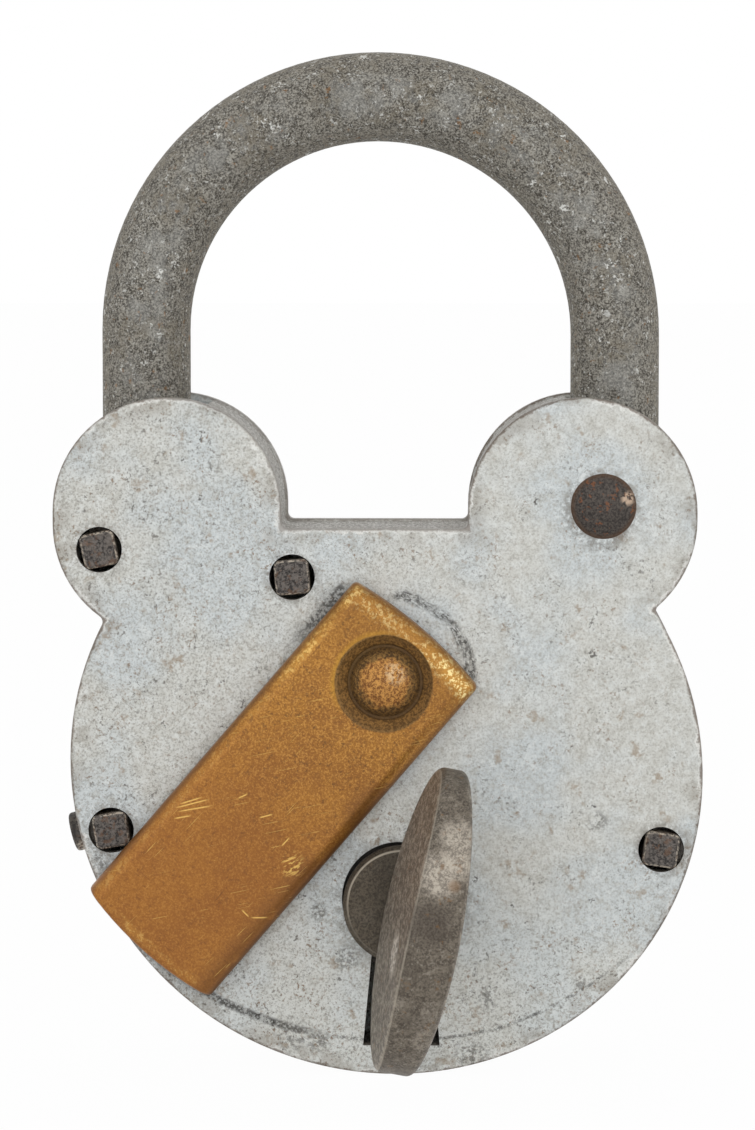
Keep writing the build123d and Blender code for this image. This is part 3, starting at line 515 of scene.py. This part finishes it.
def hammered_rivet():
    """Brown-black iron, bright at worn edges; the pivot's head rusty, with a painted highlight on it that is
    partly wear; the stub at the rim dark.
    """
    f = Finish("hammered_rivet")
    fine = f.noise(0.28, 3, 0.75)
    dents = f.noise(0.9, 3, 0.6, shift=3)
    colour = f.mix(fine.rise(0.41, 0.59), paint(42, 38, 36), paint(108, 102, 97))
    colour = f.mix(dents.rise(0.5, 0.62) * 0.5, colour, paint(122, 114, 107))
    edge = f.facing_front.fall(0.8, 0.985)
    rust = (f.noise(0.8, 3, 0.6, shift=5) + edge * 0.06).rise(0.55, 0.64)
    colour = f.mix(rust * 0.55, colour, paint(104, 74, 52))
    bright = f.flecks(0.4, 0.47, 0.56, 7) * edge
    colour = f.mix(bright * 0.75, colour, paint(208, 196, 178))
    from_pivot = f.away(PIVOT)
    head = f.mix(fine.rise(0.4, 0.6), paint(46, 41, 38), paint(88, 81, 75))
    head = f.mix(from_pivot.rise(PIVOT_HEAD_R - 0.65, PIVOT_HEAD_R) * 0.6, head, paint(94, 68, 48))
    head_rust = f.noise(1.0, 3, 0.7, shift=21).rise(0.57, 0.64)
    head = f.mix(head_rust * 0.6, head, paint(140, 84, 46))
    # Painted highlight on the pivot's domed head, partly wear, in ragged flecks
    wear_and_highlight = f.away(PIVOT_HIGHLIGHT).fall(0.4, 1.1) * f.flecks(0.6, 0.42, 0.54, 25)
    head = f.mix(wear_and_highlight * 0.8, head, paint(214, 188, 164))
    colour = f.mix(from_pivot.fall(PIVOT_HEAD_R + 0.65, PIVOT_HEAD_R + 1.45), colour, head)
    rim_stub = f.x.fall(RIM_STUB_X, RIM_STUB_X + 0.6)
    colour = f.mix(rim_stub * 0.85, colour, paint(42, 38, 36))
    height = dents * 0.7 + fine * 0.3
    return f.finish(colour, 0.42 + fine * 0.2, metallic=0.45, normal=f.bump(height, depth=0.25))


def brass_colours(f):
    """Ochre brass with darker clouds, a fine grain and brown pin-pricks."""
    cloud = f.noise(7, 3, 0.55, shift=3)
    mottle = f.noise(1.2, 3, 0.7, shift=5)
    grain = f.noise(0.24, 3, 0.75)
    colour = f.mix(cloud.rise(0.4, 0.6), paint(154, 102, 40), paint(172, 118, 46))
    colour = f.mix(mottle.rise(0.5, 0.62) * 0.4, colour, paint(140, 92, 42))
    colour = f.mix(grain.rise(0.5, 0.62) * 0.55, colour, paint(120, 77, 34))
    colour = f.mix(grain.fall(0.38, 0.5) * 0.55, colour, paint(216, 160, 80))
    return f.mix(f.flecks(0.6, 0.58, 0.65, 9) * 0.6, colour, paint(92, 62, 32))


def golden_wear_and_sheen(f, colour, where, glint):
    """The colour with a painted golden sheen, and small painted glints in it, as highlights along worn edges."""
    colour = f.mix(where * 0.5, colour, paint(212, 156, 68))
    return f.mix(where * f.flecks(0.55, 0.5, 0.59, 19) * 0.9, colour, glint)


def hairlines(f, angle, seed):
    """Short fine scratches that all run about one way."""
    run = f.streaks(angle, 5.0, 0.12)
    drawn = f.noise(1.0, 1, 0.4, at=run, shift=seed).rise(0.69, 0.75)
    return drawn * f.noise(4, 1, shift=seed + 1).rise(0.54, 0.64)


def scratch(f, start, stop):
    """One scratch between two places on the face, deepest at its middle."""
    run = Vector(stop) - Vector(start)
    ahead = f.along(start, run.normalized()) - run.length / 2
    beside = f.along(start, run.orthogonal().normalized())
    depth = abs(ahead).fall(run.length * 0.2, run.length / 2)
    return abs(beside).fall(0.03, 0.12) * depth


def worn_brass_drop():
    """Pressed brass cover: painted golden highlights along its worn, rolled sides, painted shade along its right
    side, scratched, dark in its dish.
    """
    f = Finish("worn_brass_drop")
    length = f.along(DROP, DOWN_DROP)
    width = f.along(DROP, ACROSS_DROP) - DROP_OFF_CENTRE
    from_pivot = f.away(DROP)
    to_side = DROP_HALF_WIDTH - abs(width)
    heel_run = length + DROP_HEEL - DROP_HEEL_R
    to_heel = DROP_HEEL_R - (width * width + heel_run * heel_run).maths("SQRT")
    to_end = DROP_REACH - from_pivot
    ragged = (f.noise(1.4, 3, 0.65, shift=11) - 0.5) * 2.4
    colour = brass_colours(f)
    colour = f.mix(length.rise(4, 30) * 0.5, colour, paint(154, 93, 38))
    colour = f.mix(length.fall(-5, 5) * 0.3, colour, paint(128, 86, 36))
    left_side = width.fall(-2.0, 2.0) * (0.15 + length.fall(0.0, 15.0) * 1.05)
    side = abs(to_side - 0.95 + ragged * 0.4).fall(0.15, 0.8) * (0.1 + left_side * 0.6)
    heel = abs(to_heel - 1.3 + ragged * 0.4).fall(0.3, 1.7) * to_side.rise(-0.5, 0.8)
    heel = heel * (0.5 + width.rise(0.0, 5.0) * 0.5)
    end = abs(to_end - 1.0 + ragged * 0.6).fall(0.1, 0.7) * 0.36
    patchy = f.noise(4, 2, shift=21).rise(0.36, 0.56)
    # Painted golden sheen and glints: highlights along the rolled sides, the heel and the free end, where they are
    # also worn
    worn_side_sheen = side.most(end) * patchy
    worn_heel_sheen = heel * (0.6 + patchy * 0.4)
    colour = golden_wear_and_sheen(f, colour, worn_side_sheen, paint(246, 204, 118))
    colour = golden_wear_and_sheen(f, colour, worn_heel_sheen, paint(255, 233, 165))
    shaded = width.rise(5.8, 8.4) * length.rise(0, 10) * f.noise(5, 2, shift=25).rise(0.36, 0.54)
    colour = f.mix(shaded * 0.55, colour, paint(114, 72, 34))
    rim = to_side.least(to_heel).fall(0.25, 0.8)
    colour = f.mix(rim * (0.25 + length.rise(0, 10) * 0.3), colour, paint(118, 76, 36))
    old_scratches = hairlines(f, radians(-50), 33).most(hairlines(f, radians(40), 35))
    colour = f.mix(old_scratches * 0.5, colour, paint(98, 60, 30))
    colour = f.mix(f.specks(2.6, 0.5, 0.5, shift=6) * 0.6, colour, paint(232, 176, 86))
    scratches = hairlines(f, radians(-12), 13).most(hairlines(f, radians(-45), 17)) * 0.6
    strokes = f.noise(1.0, 2, 0.6, at=f.streaks(radians(-25), 0.9, 0.3), shift=29).rise(0.53, 0.6)
    scratches = scratches.most(f.away(SCUFF_ON_DROP).fall(0.5, 2.0) * strokes)
    for start, stop in SCRATCHES:
        scratches = scratches.most(scratch(f, start, stop))
    colour = f.mix(scratches * 0.7, colour, paint(250, 206, 112))
    from_dish = f.away(DISH) + ragged * 0.08
    dish = from_dish.fall(DISH_R, DISH_R + 0.25)
    # Painted highlight: a golden crescent on the dish's lip, on its upper left side
    dish_lip_highlight = from_dish.fall(DISH_R + 0.15, DISH_R + 0.95) * f.along(DROP, (-0.8, 0.6)).rise(1.0, 5.0)
    colour = f.mix(dish_lip_highlight * 0.5, colour, paint(196, 146, 44))
    dish_grain = f.noise(0.34, 3, 0.75, shift=27).rise(0.41, 0.59)
    olive = f.mix(dish_grain, paint(100, 74, 41), paint(166, 125, 70))
    olive = f.mix(from_dish.rise(DISH_R - 0.85, DISH_R + 0.05) * 0.35, olive, paint(70, 54, 32))
    # Painted shade in the groove where the dome's foot meets the dish
    dish_floor = from_pivot.fall(DISH_FLOOR_R, DISH_FLOOR_R + 0.18)
    olive = f.mix(dish_floor * 0.85, olive, paint(64, 48, 27))
    colour = f.mix(dish * 0.9, colour, olive)
    height = f.noise(0.7, 3, 0.6) * 0.5 - scratches * 0.5
    roughness = 0.42 + dish * 0.2 - worn_side_sheen.most(worn_heel_sheen) * 0.1
    return f.finish(colour, roughness, metallic=0.5, normal=f.bump(height, depth=0.05))


def worn_brass_rivet():
    """The drop's domed rivet and its washer: coppery and scratched on top, olive at the foot, with painted shade
    where it meets the dish.
    """
    f = Finish("worn_brass_rivet")
    fine = f.noise(0.36, 4, 0.8)
    from_pivot = f.away(DROP)
    ragged = (f.noise(1.0, 3, 0.65, shift=23) - 0.5) * 2.2
    copper = f.mix(fine.rise(0.42, 0.58), paint(128, 80, 36), paint(212, 154, 80))
    sheen = f.away(DOME_SHEEN).fall(0.5, 1.8) * f.flecks(0.8, 0.44, 0.55, 25)
    copper = f.mix(sheen * 0.6, copper, paint(250, 218, 170))
    olive = f.mix(fine.rise(0.42, 0.58), paint(84, 62, 34), paint(150, 114, 62))
    colour = f.mix((from_pivot + ragged).fall(DOME_TOP_R, DOME_TOP_R + 0.9), olive, copper)
    # Painted shade at the dome's foot, where it meets the dish
    foot = from_pivot.rise(DOME_FOOT_R, DOME_FOOT_R + 0.4)
    colour = f.mix(foot * 0.4, colour, paint(78, 58, 32))
    return f.finish(colour, 0.42 + foot * 0.35, metallic=0.5, normal=f.bump(fine, depth=0.15))


def handled_key():
    """Warm grey iron, worn smooth where the fingers hold the bow and bright there with painted highlights; painted
    highlights on its ridge and collar bevel, a lighter painted flank, painted shade on its collar and in a dark
    oval.
    """
    f = Finish("handled_key")
    fine = f.noise(0.26, 3, 0.75)
    mottle = f.noise(1.0, 3, 0.65, shift=3)
    cloud = f.noise(3.5, 3, 0.6, shift=5)
    rough = fine * 0.6 + mottle * 0.4
    colour = f.mix(rough.rise(0.37, 0.63), paint(74, 66, 57), paint(128, 119, 106))
    colour = f.mix(cloud.rise(0.48, 0.62) * 0.35, colour, paint(84, 76, 66))
    colour = f.mix(f.flecks(0.5, 0.57, 0.63, 9) * 0.25, colour, paint(190, 182, 168))
    scale = f.noise(0.6, 3, 0.8, at=f.streaks(0.0, 1.0, 1.0, 2.0), shift=13)
    flank = abs(f.facing_right).rise(0.6, 0.9)
    # Painted light: faces that look to the sides are painted lighter
    colour = f.mix(flank * 0.25, colour, paint(150, 141, 128))
    colour = f.mix(scale.rise(0.47, 0.62) * flank * 0.7, colour, paint(180, 171, 156))
    colour = f.mix(scale.fall(0.4, 0.48) * flank * 0.4, colour, paint(62, 54, 46))
    # Painted highlight along the ridge between the flank and the bow's band
    ridge_highlight = abs(f.facing_right + 0.75).fall(0.04, 0.2) * (1 - flank * 0.5)
    colour = f.mix(ridge_highlight * 0.55, colour, paint(184, 174, 158))
    # Painted highlights, partly wear, on the bow where the fingers hold it
    wear_and_highlight = f.noise(5, 2, shift=7).rise(0.56, 0.7) * 0.3
    for place, reach in WORN_HIGHLIGHTS_ON_KEY:
        wear_and_highlight = wear_and_highlight.most(f.near(place, reach))
    # Painted shade: a dark oval on the bow's broad face, kept free of the painted highlights
    dark_oval = f.near(*DARK_OVAL_ON_KEY)
    wear_and_highlight = wear_and_highlight * (1 - dark_oval) * (0.4 + rough.rise(0.42, 0.56) * 0.6)
    colour = f.mix(wear_and_highlight * 0.56, colour, paint(212, 202, 187))
    dark_oval_colour = f.mix(fine.rise(0.4, 0.6), paint(68, 60, 52), paint(92, 83, 73))
    colour = f.mix(dark_oval * 0.8, colour, dark_oval_colour)
    glint = f.near(*GLINT_ON_KEY) * scale.rise(0.44, 0.56)
    colour = f.mix(glint * 0.7, colour, paint(250, 246, 238))
    rust = f.noise(1.6, 3, 0.65, shift=11).rise(0.62, 0.7).most(f.near(*RUST_ON_KEY))
    colour = f.mix(rust * 0.5, colour, paint(122, 88, 50))
    from_axis = f.away(KEY)
    collar = f.y.rise(-COLLAR_FRONT - 1.5, -COLLAR_FRONT - 0.3)
    flat_colour = f.mix(fine.rise(0.38, 0.62), paint(62, 55, 45), paint(98, 88, 74))
    # Painted shade: the collar darker towards the bow
    flat_colour = f.mix((f.x - KEY[0]).rise(-5.0, -1.0) * 0.5, flat_colour, paint(50, 43, 34))
    colour = f.mix(collar * 0.85, colour, flat_colour)
    # Painted highlight: a bright line on the collar's bevel, strongest at its upper left
    upper_left = (f.z - f.x - KEY[1] + KEY[0]).rise(3.0, 10.0)
    bevel_highlight = abs(from_axis - COLLAR_R + 0.55).fall(0.04, 0.16) * collar
    colour = f.mix(bevel_highlight * (0.1 + upper_left * 0.8), colour, paint(214, 204, 186))
    roughness = 0.42 + fine * 0.15 - wear_and_highlight * 0.1
    return f.finish(colour, roughness, metallic=0.5, normal=f.bump(rough, depth=0.1))


def plain_finish(name, dark, light, metallic, size):
    """Finish of a piece inside the case: two shades in fine grain."""
    f = Finish(name)
    grain = f.noise(size, 3, 0.6)
    cloud = f.noise(size * 9, 2, 0.5, shift=3)
    colour = f.mix((grain * 0.6 + cloud * 0.4).rise(0.35, 0.65), dark, light)
    return f.finish(colour, 0.4 + grain * 0.2, metallic, f.bump(grain, depth=0.05))


finishes = {
    "plate": zinc_plate(),
    "rim": grey_rim(),
    "shackle": pitted_shackle(),
    "rivet": hammered_rivet(),
    "drop": worn_brass_drop(),
    "drop_rivet": worn_brass_rivet(),
    "key": handled_key(),
    "curtain": plain_finish("dark_curtain", paint(38, 35, 32), paint(66, 61, 56), 0.5, 0.5),
    "inner_steel": plain_finish("inner_steel", paint(108, 108, 108), paint(140, 140, 138), 0.7, 0.5),
    "lever": plain_finish("lever_brass", paint(165, 128, 62), paint(196, 158, 84), 0.8, 0.7),
    "spring": plain_finish("blued_spring", paint(64, 68, 80), paint(92, 98, 112), 0.8, 0.4),
}
for subpart in frame["record"]["subparts"]:
    mesh = nodes[subpart["node"]].data
    mesh.materials.clear()
    mesh.materials.append(finishes[subpart["material_slot"]])


def white_ground():
    """Floor under the lock: white to the eye and in reflections, and it keeps the lock's shadow."""
    f = Finish("white_floor")
    colour = f.mix(f.noise(60, 2), paint(240, 240, 240), paint(246, 246, 246))
    f.finish(colour, roughness=0.9, metallic=0.0)
    glow = f.node("ShaderNodeEmission", {}, {"Color": WHITE, "Strength": 1.0})
    lit = Wire(f, f.shader.outputs[0])
    both = f.node("ShaderNodeMixShader", {}, {0: f.seen() * FLOOR_GLOW, 1: lit, 2: glow})
    f.feed(f.tree.nodes["Material Output"].inputs["Surface"], both)
    mesh = bpy.data.meshes.new("floor")
    around = ((-1, -1), (1, -1), (1, 1), (-1, 1))
    corners = [(x * FLOOR_REACH, y * FLOOR_REACH, cad_low.z) for x, y in around]
    mesh.from_pydata(corners, [], [(0, 1, 2, 3)])
    mesh.materials.append(f.material)
    floor = bpy.data.objects.new("floor", mesh)
    bpy.context.scene.collection.objects.link(floor)


def white_world():
    """Even studio light, seen as plain white behind the lock and in its metal."""
    world = bpy.data.worlds.new("studio")
    bpy.context.scene.world = world
    world.use_nodes = True
    sky = Nodes(world.node_tree)
    background = sky.tree.nodes["Background"]
    sky.feed(background.inputs["Color"], WHITE)
    sky.feed(background.inputs["Strength"], WORLD_LIGHT + sky.seen() * (1 - WORLD_LIGHT))


def lamp(name, place, size, power):
    """Round lamp that looks at the lock."""
    data = bpy.data.lights.new(name, "AREA")
    data.shape = "DISK"
    data.size = size
    data.energy = power
    lamp_object = bpy.data.objects.new(name, data)
    lamp_object.location = place
    away = Vector(place) - Vector(LIT_PLACE)
    lamp_object.rotation_euler = away.to_track_quat("Z", "Y").to_euler()
    bpy.context.scene.collection.objects.link(lamp_object)


def photo_camera():
    """Camera nearly square to the front, a little above and to the right."""
    level = cos(CAMERA_ELEVATION)
    away = Vector((sin(CAMERA_AZIMUTH) * level, -cos(CAMERA_AZIMUTH) * level, sin(CAMERA_ELEVATION)))
    data = bpy.data.cameras.new("camera")
    data.lens = CAMERA_LENS
    data.sensor_width = CAMERA_SENSOR
    data.clip_start = CAMERA_CLIP
    camera = bpy.data.objects.new("camera", data)
    camera.location = CAMERA_TARGET + away * CAMERA_DISTANCE
    camera.rotation_euler = away.to_track_quat("Z", "Y").to_euler()
    bpy.context.scene.collection.objects.link(camera)
    bpy.context.scene.camera = camera


white_ground()
white_world()
for settings in LAMPS:
    lamp(**settings)
photo_camera()
bpy.context.scene.view_settings.view_transform = "Standard"
